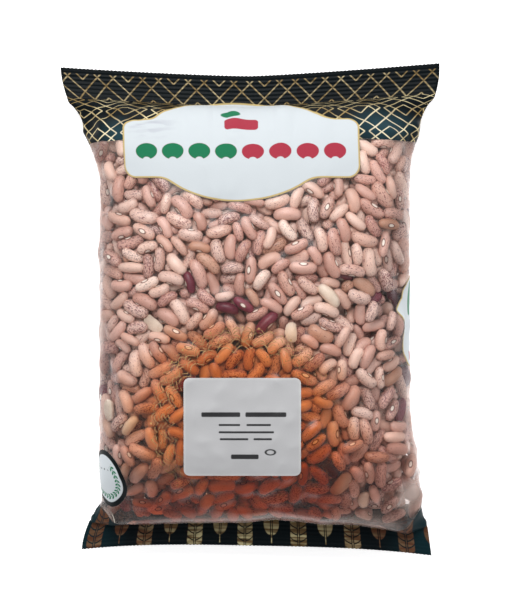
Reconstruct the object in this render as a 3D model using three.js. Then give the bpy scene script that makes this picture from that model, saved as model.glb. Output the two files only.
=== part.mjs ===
// A two kilogram pillow bag of dried beans, lying on its back with the printed front up.
// Millimetres, +Z up, +Y towards the top of the print, origin under the middle of the bag on the surface it lies on.
// The bag is one tube of clear film, welded flat across both ends and filled tight with beans.
// A paper label sticks to the lower half of its front.
import * as THREE from "three";
import { mergeVertices } from "three/addons/utils/BufferGeometryUtils.js";

const { clamp, smoothstep } = THREE.MathUtils;

// The filled bag: half widths left and right of the label's side, and heights above the surface
const LEFT_HALF_WIDTH = 88.5;
const RIGHT_HALF_WIDTH = 93.8;
const SEAM_HEIGHT = 26;
const CROWN_HEIGHT = 67;
const FULL_HALF_LENGTH = 126;

// The welded ends: flat fins, wider than the filled bag, drawn in at their middle by the filling
const TOP_SEAL = { depth: 18, leftFlare: 23, rightFlare: 17.5, sag: 6.5, sagPower: 1.3, tilt: 1.2, droop: 7 };
const BOTTOM_SEAL = { depth: 17, leftFlare: 10.6, rightFlare: 13.2, sag: 4.1, sagPower: 3, tilt: -1.8, droop: 10 };
const SEAL_THICKNESS = 1;

// How square the filled bag is: across, and along towards each end
const ACROSS_POWER = 2.9;
const TOP_END = { along: 3.4, rise: 1.6 };
const BOTTOM_END = { along: 5, rise: 2 };
const FLATTENED_BASE = 1.16;

// Beans press through the film as low lumps
const LUMP = { pitch: 12.5, length: 8.6, width: 5.6, height: 2.4, seed: 41 };

// The stuck label
const LABEL = { width: 67.7, height: 56.7, thickness: 0.3, corner: 3.4, x: -4.5, y: -67.5, lift: 0.45 };
const SMOOTH_MARGIN = 17;

// Faces along and across the bag and the label
const BAG_COLUMNS = 46;
const BAG_ROWS = 60;
const LABEL_COLUMNS = 14;
const LABEL_ROWS = 12;

// Share of the rows, from -1 at the bottom cut to 1 at the top cut, that each seal takes
const SEAL_SHARE = 0.1;

// A repeatable random number from 0 to 1
function seededRandom(seed) {
  let state = seed;
  return () => {
    state = (state * 1664525 + 1013904223) % 4294967296;
    return state / 4294967296;
  };
}

// Distance along the bag, before its ends are drawn in: linear over a seal, closer steps near the ends of the filling
function stationAt(t) {
  const inner = 1 - SEAL_SHARE;
  if (t > inner) return FULL_HALF_LENGTH + (TOP_SEAL.depth * (t - inner)) / SEAL_SHARE;
  if (t < -inner) return -FULL_HALF_LENGTH + (BOTTOM_SEAL.depth * (t + inner)) / SEAL_SHARE;
  const even = t / inner;
  return FULL_HALF_LENGTH * (0.4 * even + 0.6 * Math.sin((even * Math.PI) / 2));
}

// Half width of the bag at a station, on the side of sign: it flares out to the flat width of the seals
function halfWidth(station, sign) {
  if (sign < 0) {
    return (
      LEFT_HALF_WIDTH +
      TOP_SEAL.leftFlare * smoothstep(station, 72, 145) +
      BOTTOM_SEAL.leftFlare * smoothstep(-station, 105, 143)
    );
  }
  return (
    RIGHT_HALF_WIDTH +
    TOP_SEAL.rightFlare * smoothstep(station, 78, 140) +
    BOTTOM_SEAL.rightFlare * clamp((-58 - station) / 87, 0, 1) ** 0.9
  );
}

// Share of the full height that the filling reaches at a station: 0 at the seals, 1 in the middle
function fullness(station) {
  const end = station > 0 ? TOP_END : BOTTOM_END;
  const along = Math.min(Math.abs(station) / FULL_HALF_LENGTH, 1);
  return (1 - along ** end.along) ** (1 / end.rise);
}

// How far the ends are drawn in or tilted at a place across the bag, from -1 to 1
function endShift(station, across) {
  const seal = station > 0 ? TOP_SEAL : BOTTOM_SEAL;
  const weight = smoothstep(Math.abs(station) / FULL_HALF_LENGTH, 0.5, 1);
  const drawnIn = seal.sag * (1 - Math.abs(across) ** seal.sagPower);
  return weight * (seal.tilt * across - Math.sign(station) * drawnIn);
}

// Height of the side seam, which droops out to the cut edges and waves a little across
function seamHeight(station, across) {
  const seal = station > 0 ? TOP_SEAL : BOTTOM_SEAL;
  const outwards = smoothstep(Math.abs(station), FULL_HALF_LENGTH - 40, FULL_HALF_LENGTH + seal.depth);
  return SEAM_HEIGHT + outwards * (1.3 * Math.sin(2.6 * across + 0.7) - seal.droop);
}

// A point of the bag's skin: across and t from -1 to 1, on the upper (1) or the lower (-1) side
function bagPoint(across, t, side) {
  const station = stationAt(t);
  const turn = (across * Math.PI) / 2;
  const arch = Math.cos(turn) ** (2 / ACROSS_POWER);
  const full = fullness(station);
  const spread = Math.sign(across) * Math.abs(Math.sin(turn)) ** (2 / ACROSS_POWER);
  const share = THREE.MathUtils.lerp(across, spread, smoothstep(full, 0, 0.95));
  const seam = seamHeight(station, share);
  const rise = full * arch;
  const y = station + endShift(station, share);
  const upper = seam + SEAL_THICKNESS / 2 + (CROWN_HEIGHT - SEAM_HEIGHT - SEAL_THICKNESS / 2) * rise;
  const lower = (seam - SEAL_THICKNESS / 2) * (1 - Math.min(1, FLATTENED_BASE * rise));
  return new THREE.Vector3(share * halfWidth(station, across), y, side > 0 ? upper : lower);
}

// Beans as they lie under the film, on a jittered grid over the front
function scatterLumps() {
  const random = seededRandom(LUMP.seed);
  const lumps = [];
  for (let x = -100; x <= 100; x += LUMP.pitch) {
    for (let y = -118; y <= 112; y += LUMP.pitch) {
      lumps.push({
        x: x + (random() - 0.5) * LUMP.pitch * 0.6,
        y: y + (random() - 0.5) * LUMP.pitch * 0.6,
        angle: random() * Math.PI,
      });
    }
  }
  return lumps;
}

// Height of the lumps over the film at a place, 0 between beans
function lumpHeight(lumps, x, y) {
  let height = 0;
  for (const lump of lumps) {
    const dx = x - lump.x;
    const dy = y - lump.y;
    const along = dx * Math.cos(lump.angle) + dy * Math.sin(lump.angle);
    const over = dy * Math.cos(lump.angle) - dx * Math.sin(lump.angle);
    const inside = 1 - (along / LUMP.length) ** 2 - (over / LUMP.width) ** 2;
    if (inside > 0) height = Math.max(height, LUMP.height * Math.sqrt(inside));
  }
  return height;
}

// 1 where beans show, 0 under the label, near the seals and on the underside
function lumpShare(point) {
  const besideLabel = Math.max(
    Math.abs(point.x - LABEL.x) - LABEL.width / 2,
    Math.abs(point.y - LABEL.y) - LABEL.height / 2,
  );
  const offLabel = smoothstep(besideLabel, SMOOTH_MARGIN / 2, SMOOTH_MARGIN);
  const offSeals = smoothstep(point.y, -122, -112) * (1 - smoothstep(point.y, 92, 112));
  const offBase = smoothstep(point.z, 6, 24);
  return offLabel * offSeals * offBase;
}

// A box's grid of corners, welded and carried to new places by a rule that reads each corner from -1 to 1
function shapedBox(columns, rows, rule) {
  const box = new THREE.BoxGeometry(2, 2, 2, columns, rows, 1);
  box.deleteAttribute("normal");
  box.deleteAttribute("uv");
  const welded = mergeVertices(box);
  const places = welded.attributes.position;
  const corner = new THREE.Vector3();
  for (let i = 0; i < places.count; i += 1) {
    corner.fromBufferAttribute(places, i);
    const moved = rule(corner);
    places.setXYZ(i, moved.x, moved.y, moved.z);
  }
  return welded;
}

function filledBagGeometry() {
  const bag = shapedBox(BAG_COLUMNS, BAG_ROWS, (corner) => bagPoint(corner.x, corner.y, corner.z));
  bag.computeVertexNormals();
  const lumps = scatterLumps();
  const places = bag.attributes.position;
  const normals = bag.attributes.normal;
  const point = new THREE.Vector3();
  const normal = new THREE.Vector3();
  for (let i = 0; i < places.count; i += 1) {
    point.fromBufferAttribute(places, i);
    normal.fromBufferAttribute(normals, i);
    const raised = lumpShare(point) * (lumpHeight(lumps, point.x, point.y) - LUMP.height / 2);
    point.addScaledVector(normal, raised);
    places.setXYZ(i, point.x, point.y, point.z);
  }
  return bag;
}

// Height of the bag's smooth front over a place of the plan, away from the drawn-in ends
function frontHeight(x, y) {
  let station = y;
  for (let step = 0; step < 4; step += 1) station = y - endShift(station, x / halfWidth(station, x));
  const share = Math.min(Math.abs(x) / halfWidth(station, x), 1);
  const rise = fullness(station) * (1 - share ** ACROSS_POWER) ** (1 / ACROSS_POWER);
  return SEAM_HEIGHT + (CROWN_HEIGHT - SEAM_HEIGHT) * rise;
}

// A place of the label's plan, with its square corner drawn in to a round one
function roundedPlace(u, v) {
  const x = (u * LABEL.width) / 2;
  const y = (v * LABEL.height) / 2;
  const past = new THREE.Vector2(
    Math.abs(x) - (LABEL.width / 2 - LABEL.corner),
    Math.abs(y) - (LABEL.height / 2 - LABEL.corner),
  );
  if (past.x <= 0 || past.y <= 0) return new THREE.Vector2(x, y);
  const kept = Math.max(past.x, past.y) / past.length();
  return new THREE.Vector2(
    Math.sign(x) * (Math.abs(x) - past.x * (1 - kept)),
    Math.sign(y) * (Math.abs(y) - past.y * (1 - kept)),
  );
}

function labelGeometry() {
  return shapedBox(LABEL_COLUMNS, LABEL_ROWS, (corner) => {
    const place = roundedPlace(corner.x, corner.y);
    const x = LABEL.x + place.x;
    const y = LABEL.y + place.y;
    const lift = LABEL.lift + (corner.z > 0 ? LABEL.thickness : 0);
    return new THREE.Vector3(x, y, frontHeight(x, y) + lift);
  });
}

// Clear film over pinkish brown beans
const filmOverBeans = new THREE.MeshStandardMaterial({ color: 0xb08e82, roughness: 0.35, metalness: 0 });
const labelPaper = new THREE.MeshStandardMaterial({ color: 0xe6e6e4, roughness: 0.55, metalness: 0 });

const filledBag = new THREE.Mesh(filledBagGeometry(), filmOverBeans);
filledBag.name = "filled_bag";

const label = new THREE.Mesh(labelGeometry(), labelPaper);
label.name = "label";

// The middle of the bag's box comes over the origin
const model = new THREE.Group();
const box = new THREE.Box3().setFromObject(filledBag);
const middle = box.getCenter(new THREE.Vector3());
for (const piece of [filledBag, label]) {
  piece.position.set(-middle.x, -middle.y, -box.min.z);
  model.add(piece);
}

export default model;
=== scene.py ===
# A two kilogram bag of dried speckled beans, lying on its back and looked down on.
# The clear film is draped over real beans, printed at both ends, and carries a paper label.
import math

import bpy
import numpy as np
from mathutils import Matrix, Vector
from mathutils.bvhtree import BVHTree


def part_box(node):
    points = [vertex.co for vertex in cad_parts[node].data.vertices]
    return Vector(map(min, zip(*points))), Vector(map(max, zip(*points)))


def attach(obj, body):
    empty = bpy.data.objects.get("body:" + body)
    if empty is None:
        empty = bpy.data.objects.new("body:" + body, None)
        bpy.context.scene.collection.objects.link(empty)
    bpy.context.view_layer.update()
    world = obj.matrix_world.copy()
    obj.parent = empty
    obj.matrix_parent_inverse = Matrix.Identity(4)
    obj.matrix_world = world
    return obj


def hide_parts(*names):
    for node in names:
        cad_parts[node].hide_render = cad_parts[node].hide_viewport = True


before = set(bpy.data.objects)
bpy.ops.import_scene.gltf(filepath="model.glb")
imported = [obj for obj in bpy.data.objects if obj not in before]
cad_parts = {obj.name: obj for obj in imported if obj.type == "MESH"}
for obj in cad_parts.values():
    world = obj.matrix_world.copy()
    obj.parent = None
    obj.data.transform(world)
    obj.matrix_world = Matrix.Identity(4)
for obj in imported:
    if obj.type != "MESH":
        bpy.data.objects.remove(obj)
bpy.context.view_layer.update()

# The table and the light
# The bag lies on a white light table, which washes out its shadow. The studio is bright past the bag's head
# and dark overhead, so flat film mirrors little. One soft box stands over the head, one at the lower right.
MM = 0.001


def linear(sheet_colour):
    """An sRGB hex value, such as "#c0a080", as the linear colour with alpha that a socket takes."""
    shares = [int(sheet_colour[i:i + 2], 16) / 255 for i in (1, 3, 5)]
    return tuple(s / 12.92 if s <= 0.04045 else ((s + 0.055) / 1.055) ** 2.4 for s in shares) + (1.0,)


def add(tree, kind, inputs=(), **settings):
    """Adds a shader node with its settings. An input is a value, a socket or a node (its first output)."""
    made = tree.nodes.new("ShaderNode" + kind)
    for name, value in settings.items():
        setattr(made, name, value)
    for key, value in inputs.items() if isinstance(inputs, dict) else enumerate(inputs):
        if value is None:
            continue
        if isinstance(value, bpy.types.Node):
            value = value.outputs[0]
        if isinstance(value, bpy.types.NodeSocket):
            tree.links.new(value, made.inputs[key])
        else:
            made.inputs[key].default_value = value
    return made


def new_material(name):
    """An empty material and its node tree."""
    material = bpy.data.materials.new(name)
    material.use_nodes = True
    material.node_tree.nodes.clear()
    return material, material.node_tree


TABLE_SIDE = 6.0
TABLE_LEVEL = -0.3
bpy.ops.object.select_all(action="DESELECT")
bpy.ops.mesh.primitive_plane_add(size=TABLE_SIDE, location=(0, 0, TABLE_LEVEL * MM))
table = bpy.context.object
table.name = "table"
table_material, tree = new_material("white laminate")
surface = add(tree, "BsdfPrincipled", {
    "Base Color": linear("#fbfbfb"),
    "Roughness": 0.6,
    "Emission Color": (1, 1, 1, 1),
    "Emission Strength": 0.6,
})
add(tree, "OutputMaterial", [surface])
table.data.materials.append(table_material)

world = bpy.data.worlds.new("studio")
bpy.context.scene.world = world
world.use_nodes = True
sky = world.node_tree
sky.nodes["Background"].inputs["Color"].default_value = linear("#fdfdff")
CEILING, FAR_WALL, NEAR_WALL = 0.1, 1.12, 0.72
direction = add(sky, "TexCoord").outputs["Generated"]
upwards = add(sky, "SeparateXYZ", [direction])
towards = add(sky, "VectorMath", {0: direction, 1: (0, 1, 0)}, operation="DOT_PRODUCT")
walls = add(sky, "MapRange", {
    "Value": towards.outputs["Value"],
    "From Min": -0.9, "From Max": 0.9, "To Min": NEAR_WALL, "To Max": FAR_WALL,
})
brightness = add(sky, "MapRange", {
    "Value": upwards.outputs["Z"], "From Min": 0.66, "From Max": 0.95, "To Min": walls, "To Max": CEILING,
})
sky.links.new(brightness.outputs[0], sky.nodes["Background"].inputs["Strength"])


def soft_box(name, place, side, watts, aim):
    """A square area light at a place, turned to its aim."""
    light = bpy.data.lights.new(name, "AREA")
    light.size = side
    light.energy = watts
    holder = bpy.data.objects.new(name, light)
    bpy.context.collection.objects.link(holder)
    holder.location = place
    holder.rotation_euler = (Vector(aim) - Vector(place)).to_track_quat("-Z", "Y").to_euler()


LIGHT_AIM = (0, 0, 0.03)
soft_box("head_light", (-0.15, 0.9, 1.5), 0.9, 22.5, LIGHT_AIM)
soft_box("side_light", (0.9, -0.7, 1.2), 0.6, 1.2, LIGHT_AIM)

# The camera looks straight down. The picture is upright, so the sensor's width spans its long side
MM_PER_PIXEL = 0.586
PICTURE_HEIGHT = 601
PICTURE_MIDDLE = (255, 300.5)
BAG_MIDDLE_PIXEL = (250, 309.5)
CAMERA_HEIGHT = 2.4
SEAM_LEVEL = 0.026
camera = bpy.data.objects.new("camera", bpy.data.cameras.new("camera"))
bpy.context.collection.objects.link(camera)
camera.location = (
    (PICTURE_MIDDLE[0] - BAG_MIDDLE_PIXEL[0]) * MM_PER_PIXEL * MM,
    (BAG_MIDDLE_PIXEL[1] - PICTURE_MIDDLE[1]) * MM_PER_PIXEL * MM,
    SEAM_LEVEL + CAMERA_HEIGHT,
)
camera.data.lens = camera.data.sensor_width * CAMERA_HEIGHT / (PICTURE_HEIGHT * MM_PER_PIXEL * MM)
camera.data.clip_end = 50
bpy.context.scene.camera = camera
bpy.context.scene.view_settings.view_transform = "Standard"

# The bag's form
# The film is one tube, 444 mm round, filled tight and welded flat across both ends.
# These functions give its smooth skin, in millimetres, before beans press into it.
LEFT_HALF_WIDTH = 88.5
RIGHT_HALF_WIDTH = 93.8
SEAM_HEIGHT = 26
CROWN_HEIGHT = 67
FULL_HALF_LENGTH = 126
TOP_SEAL = {"depth": 18, "left": 23, "right": 17.5, "sag": 6.5, "sag_power": 1.3, "tilt": 1.2, "droop": 7}
BOTTOM_SEAL = {
    "depth": 17, "left": 10.6, "right": 13.2, "sag": 4.1, "sag_power": 3, "tilt": -1.8, "droop": 10,
}
FILM_GAP = 0.4
ACROSS_POWER = 2.9
TOP_END = (3.4, 1.6)
BOTTOM_END = (5, 2)
FLATTENED_BASE = 1.16
FLAT_HALF_GIRTH = 222
FLAT_SEAL_LINE = 138


def ease(x, low, high):
    """0 below low, 1 above high and a smooth step between them."""
    t = np.clip((x - low) / (high - low), 0, 1)
    return t * t * (3 - 2 * t)


def half_width(station, across):
    """Half the bag's width at a station along it: it flares out to the flat width of the seals."""
    left = LEFT_HALF_WIDTH + TOP_SEAL["left"] * ease(station, 72, 145)
    left = left + BOTTOM_SEAL["left"] * ease(-station, 105, 143)
    right = RIGHT_HALF_WIDTH + TOP_SEAL["right"] * ease(station, 78, 140)
    right = right + BOTTOM_SEAL["right"] * np.clip((-58 - station) / 87, 0, 1) ** 0.9
    return np.where(across < 0, left, right)


def bag_points(station, across, upper):
    """Points of the smooth skin at one station, for across from -1 to 1, on its upper or lower side."""
    seal = TOP_SEAL if station > 0 else BOTTOM_SEAL
    along_power, rise_power = TOP_END if station > 0 else BOTTOM_END
    full = (1 - min(abs(station) / FULL_HALF_LENGTH, 1) ** along_power) ** (1 / rise_power)
    turn = across * math.pi / 2
    spread = np.sign(across) * np.abs(np.sin(turn)) ** (2 / ACROSS_POWER)
    share = across + (spread - across) * ease(full, 0, 0.95)
    rise = full * np.maximum(np.cos(turn), 0) ** (2 / ACROSS_POWER)
    outwards = ease(abs(station), FULL_HALF_LENGTH - 40, FULL_HALF_LENGTH + seal["depth"])
    seam = SEAM_HEIGHT + outwards * (1.3 * np.sin(2.6 * share + 0.7) - seal["droop"])
    drawn_in = seal["sag"] * (1 - np.abs(share) ** seal["sag_power"])
    towards_end = ease(abs(station) / FULL_HALF_LENGTH, 0.5, 1)
    shift = towards_end * (seal["tilt"] * share - np.sign(station) * drawn_in)
    x = share * half_width(station, across)
    if upper:
        z = seam + FILM_GAP / 2 + (CROWN_HEIGHT - SEAM_HEIGHT - FILM_GAP / 2) * rise
    else:
        z = (seam - FILM_GAP / 2) * (1 - np.minimum(1, FLATTENED_BASE * rise))
    return np.stack([x, station + shift, z], axis=-1)


def girth_points(station, columns):
    """The skin at one station, from the middle of the back round by the left and back, in even steps."""
    across = np.sin(np.linspace(-1, 1, 721) * math.pi / 2)
    front = bag_points(station, across, True)
    back = bag_points(station, across, False)
    half = len(across) // 2
    left = np.concatenate([back[half::-1], front[:half + 1]])
    right = np.concatenate([front[half:], back[:half - 1:-1]])
    halves = []
    for side in (left, right):
        reach = np.concatenate([[0], np.cumsum(np.linalg.norm(np.diff(side, axis=0), axis=1))])
        even = np.linspace(0, reach[-1], columns // 2 + 1)
        halves.append(np.stack([np.interp(even, reach, side[:, k]) for k in range(3)], axis=-1))
    return np.concatenate([halves[0], halves[1][1:]])


def skin_grid(stations, columns):
    """The smooth skin as rows of points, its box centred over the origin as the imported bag's is."""
    grid = np.array([girth_points(s, columns) for s in stations])
    return grid + BAG_SHIFT


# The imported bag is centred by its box, whose side corners are the corners of the two seals
top_corners = bag_points(FULL_HALF_LENGTH + TOP_SEAL["depth"], np.array([-1.0, 1.0]), True)
bottom_corners = bag_points(-FULL_HALF_LENGTH - BOTTOM_SEAL["depth"], np.array([-1.0, 1.0]), True)
corners = np.concatenate([top_corners, bottom_corners])
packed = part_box("filled_bag")
BAG_SHIFT = np.array([
    (packed[0][0] + packed[1][0]) / 2 / MM - (corners[:, 0].min() + corners[:, 0].max()) / 2,
    (packed[0][1] + packed[1][1]) / 2 / MM - (corners[:, 1].min() + corners[:, 1].max()) / 2,
    0,
])

# The beans
# Dried speckled beans, about 15 mm long, poured in loose and packed by the film until they lock.
# Each is a low, bent ellipsoid with its eye on the hollow side. Kinds differ in the colour of the seed coat.
BEAN = {"length": 14.3, "width": 7.8, "thickness": 6.6, "bend": 0.5}
MIDDLE_BALL = 3.6
END_BALL = 2.9
END_REACH = 4.3
PACKING = 0.665
random = np.random.default_rng(2207)


def unit(vectors):
    """Vectors drawn to a length of 1."""
    return vectors / np.maximum(np.linalg.norm(vectors, axis=-1, keepdims=True), 1e-9)


# Distance inside the skin and the way inwards, on a grid of cells, read between its points
CELL = 3.0
coarse = skin_grid(np.linspace(-FULL_HALF_LENGTH - 4, FULL_HALF_LENGTH + 4, 90), 128)
rows, columns = coarse.shape[:2]
index = np.arange(rows * columns).reshape(rows, columns)
quads = np.stack([index[:-1, :-1], index[:-1, 1:], index[1:, 1:], index[1:, :-1]], axis=-1)
skin_tree = BVHTree.FromPolygons(coarse.reshape(-1, 3).tolist(), quads.reshape(-1, 4).tolist())
low = np.array([-117.0, -132.0, -3.0])
shape = np.array([79, 89, 26])
distance = np.empty(shape)
inwards = np.empty((*shape, 3))
for i, j, k in np.ndindex(*shape):
    place = low + CELL * np.array([i, j, k])
    near, normal, _, gap = skin_tree.find_nearest(Vector(place))
    away = np.array(near) - place
    inside = np.dot(away, normal) > 0
    distance[i, j, k] = gap if inside else -gap
    inwards[i, j, k] = -np.array(normal)


def read_grid(places):
    """Distance inside the skin and the way inwards at places."""
    at = np.clip((places - low) / CELL, 0, shape - 1.001)
    base = at.astype(int)
    part = at - base
    depth = 0
    way = 0
    for corner in np.ndindex(2, 2, 2):
        weight = np.prod(np.where(corner, part, 1 - part), axis=-1)
        where = tuple((base + corner).T)
        depth = depth + weight * distance[where]
        way = way + weight[:, None] * inwards[where]
    return depth, unit(way)


# Beans keep clear of the two welds, where the film lies flat
sides, ends, _ = np.meshgrid(*[low[k] + CELL * np.arange(shape[k]) for k in range(3)], indexing="ij")
distance = np.where(np.abs(sides) < half_width(ends, sides), distance, -np.abs(distance))
TOP_FILL, BOTTOM_FILL = 111, -122.5
beyond = np.minimum(TOP_FILL - ends, ends - BOTTOM_FILL)
inwards[beyond < distance] = 0
inwards[..., 1] = np.where(beyond < distance, np.where(ends > 0, -1, 1), inwards[..., 1])
distance = np.minimum(distance, beyond)

ball_volume = 4 / 3 * math.pi * (BEAN["length"] * BEAN["width"] * BEAN["thickness"]) / 8
room = (distance > 1.0).sum() * CELL ** 3
bean_count = int(room * PACKING / ball_volume)
choices = np.argwhere(distance > MIDDLE_BALL)
chosen = choices[random.integers(len(choices), size=bean_count)]
centres = low + CELL * (chosen + random.uniform(-0.5, 0.5, (bean_count, 3)))
axes = unit(random.normal(size=(bean_count, 3)))
sizes = np.clip(random.normal(1.0, 0.075, bean_count), 0.82, 1.2)
radii = np.array([END_BALL, MIDDLE_BALL, END_BALL])
reaches = np.array([-END_REACH, 0, END_REACH])


def close_pairs(places, reach):
    """Pairs of balls of different beans with their centres within reach, found by cells of that width."""
    cell = np.floor((places - places.min(axis=0)) / reach).astype(np.int64)
    span = cell.max(axis=0) + 3
    key = ((cell[:, 0] + 1) * span[1] + cell[:, 1] + 1) * span[2] + cell[:, 2] + 1
    order = np.argsort(key, kind="stable")
    sorted_key = key[order]
    firsts, seconds = [], []
    for step in np.ndindex(3, 3, 3):
        offset = ((step[0] - 1) * span[1] + step[1] - 1) * span[2] + step[2] - 1
        start = np.searchsorted(sorted_key, key + offset, side="left")
        count = np.searchsorted(sorted_key, key + offset, side="right") - start
        first = np.repeat(np.arange(len(places)), count)
        within = np.arange(len(first)) - np.repeat(np.cumsum(count) - count, count)
        second = order[np.repeat(start, count) + within]
        kept = (first < second) & (first // 3 != second // 3)
        firsts.append(first[kept])
        seconds.append(second[kept])
    first, second = np.concatenate(firsts), np.concatenate(seconds)
    kept = np.sum((places[first] - places[second]) ** 2, axis=1) < reach ** 2
    return first[kept], second[kept]


# The beans start small, grow to their size and push each other and the film until they lie still. Those near
# the film lie down against it
GROWTH_STEPS, SETTLING_STEPS = 160, 240
PAIRS_EVERY = 8
FILM_PUSH = 1.5
PUSH_GAIN = 1.4
FILM_LAYER = 9
LIE_DOWN = 0.12
for step in range(GROWTH_STEPS + SETTLING_STEPS):
    growth = 0.6 + 0.4 * min(1, step / GROWTH_STEPS)
    scale = sizes * growth
    balls = (centres[:, None] + axes[:, None] * (reaches[:, None] * scale[:, None, None])).reshape(-1, 3)
    ball_radii = (radii * scale[:, None]).reshape(-1)
    if step % PAIRS_EVERY == 0:
        first, second = close_pairs(balls, 2 * MIDDLE_BALL * growth * 1.1 + 1.5)
    apart = balls[first] - balls[second]
    gap = np.linalg.norm(apart, axis=1)
    overlap = np.maximum(ball_radii[first] + ball_radii[second] - gap, 0)
    push = apart * (0.5 * overlap / np.maximum(gap, 1e-6))[:, None]
    touching = (overlap > 0).astype(float)
    total = np.stack([
        np.bincount(first, push[:, k], len(balls)) - np.bincount(second, push[:, k], len(balls))
        for k in range(3)
    ], axis=-1)
    touches = np.bincount(first, touching, len(balls)) + np.bincount(second, touching, len(balls))
    depth, way = read_grid(balls)
    squeezed = np.maximum(ball_radii - depth, 0)
    total += way * squeezed[:, None] * FILM_PUSH
    moves = (total * (PUSH_GAIN / np.maximum(touches, PUSH_GAIN))[:, None]).reshape(-1, 3, 3)
    centres = centres + moves.mean(axis=1)
    axes = axes + (moves[:, 2] - moves[:, 0]) / (2 * END_REACH * scale[:, None])
    middle_depth = depth.reshape(-1, 3)[:, 1]
    wall = way.reshape(-1, 3, 3)[:, 1]
    lying = np.where(middle_depth < FILM_LAYER, LIE_DOWN, 0)[:, None]
    axes = unit(axes - lying * np.sum(axes * wall, axis=1, keepdims=True) * wall)

HELD_DEPTH = 2.2
depth, way = read_grid(centres)
held = np.flatnonzero(depth > HELD_DEPTH)
centres, axes, sizes = centres[held], axes[held], sizes[held]
bean_count = len(held)

# The filling sags over the lower weld in a wavy lip: how far, and at which places across the bag
SAG_PLACES = (-108, -96, -81, -58, 0, 15, 43, 64, 79, 92, 106)
SAG_REACH = (0, 2, 6, 6.4, 4.6, 2.4, 5.0, 4.4, 6.2, 8.0, 0)
SAG_STATION, SAG_WIDTH = -122, 6.5


def sag(across, station):
    """How far the upper side of the filling hangs forward at a place."""
    return np.interp(across, SAG_PLACES, SAG_REACH) * np.exp(-((station - SAG_STATION) / SAG_WIDTH) ** 2)


# One bean is shaped in edit mode, lying along X: a round start is stretched, its ends bent to the hollow side
bpy.ops.object.select_all(action="DESELECT")
bpy.ops.mesh.primitive_uv_sphere_add(segments=8, ring_count=8, radius=0.5, rotation=(0, math.pi / 2, 0))
model_bean = bpy.context.object
bpy.ops.object.transform_apply(rotation=True)
bpy.ops.transform.resize(value=(BEAN["length"], BEAN["width"], BEAN["thickness"]))
bpy.ops.object.transform_apply(scale=True)
bpy.ops.object.mode_set(mode="EDIT")
bpy.ops.mesh.select_mode(type="VERT")


def select_corners(piece, rule):
    """In edit mode, selects the corners of a piece whose place meets the rule, and no others."""
    bpy.ops.mesh.select_all(action="DESELECT")
    bpy.ops.object.mode_set(mode="OBJECT")
    for corner in piece.data.vertices:
        corner.select = bool(rule(corner.co))
    bpy.ops.object.mode_set(mode="EDIT")


select_corners(model_bean, lambda p: 0.24 < abs(p.x) / BEAN["length"] < 0.49)
bpy.ops.transform.resize(value=(1.03, 1.1, 1.1))
for side in (-1, 1):
    for reach, drop in ((0.12, 0.22), (0.3, 0.3), (0.4, 0.26), (0.49, 0.22)):
        select_corners(model_bean, lambda p: side * p.x > reach * BEAN["length"])
        bpy.ops.transform.translate(value=(0, -drop * BEAN["bend"], 0))
select_corners(model_bean, lambda p: p.y < -0.3 * BEAN["width"] and abs(p.x) < 0.2 * BEAN["length"])
bpy.ops.transform.translate(value=(0, 0.35, 0))
bpy.ops.object.mode_set(mode="OBJECT")

# A split half is the same bean without its coat, cut along its flat middle
HALF_CUT = -0.4
bpy.ops.object.duplicate()
model_half = bpy.context.object
bpy.ops.object.mode_set(mode="EDIT")
bpy.ops.mesh.select_all(action="SELECT")
bpy.ops.mesh.bisect(
    plane_co=(0, 0, HALF_CUT), plane_no=(0, 0, 1), use_fill=True, clear_outer=False, clear_inner=True,
)
bpy.ops.object.mode_set(mode="OBJECT")

# How each bean lies: near the film mostly on its broad side, further in any way round
LOOSE_DEPTH, LOOSE_SHARE = 12, 0.2
wall_depth, wall_way = read_grid(centres)
upper_half = ease(centres[:, 2], 24, 34)
front_of_bean = centres[:, 1] - BOTTOM_SEAL["sag"] - MIDDLE_BALL
centres[:, 1] -= sag(centres[:, 0], front_of_bean) * upper_half
roll = random.normal(0, math.radians(28), bean_count)
loose = (wall_depth > LOOSE_DEPTH) | (random.random(bean_count) < LOOSE_SHARE)
roll = np.where(loose, random.uniform(-math.pi, math.pi, bean_count), roll)
roll = roll + np.where(random.random(bean_count) < 0.5, math.pi, 0)
thin = unit(wall_way - np.sum(wall_way * axes, axis=1, keepdims=True) * axes)
broad = np.cross(thin, axes)
thin, broad = (
    thin * np.cos(roll)[:, None] + broad * np.sin(roll)[:, None],
    broad * np.cos(roll)[:, None] - thin * np.sin(roll)[:, None],
)
turns = np.stack([axes, broad, thin], axis=-1)
stretch = np.stack([
    sizes * random.normal(1, 0.06, bean_count),
    sizes * random.normal(1, 0.04, bean_count),
    sizes * random.normal(1, 0.04, bean_count),
], axis=-1)

# A few split halves, boldly marked beans and wine-red beans lie at the front, each in place of the bean that
# is nearest to its spot. Every other half shows its flat side
HALF_SPOTS = ((24, -16), (54, 8), (-61, -6), (-69, -67), (50, -101), (63, -113), (-83, -53), (-23, -109))
BOLD_SPOTS = ((25, 44), (-64, 19), (-64, 29), (5, 20))
WINE_SPOTS = ((-11, -4), (8, -8), (-3, 3), (47, -88), (23, -21))
at_front = np.flatnonzero((wall_depth < 6) & (wall_way[:, 2] < -0.5))


def nearest_at_front(spots):
    """The front beans nearest to spots seen from above."""
    away = np.linalg.norm(centres[at_front][None, :, :2] - np.array(spots)[:, None], axis=2)
    return at_front[away.argmin(axis=1)]


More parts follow.
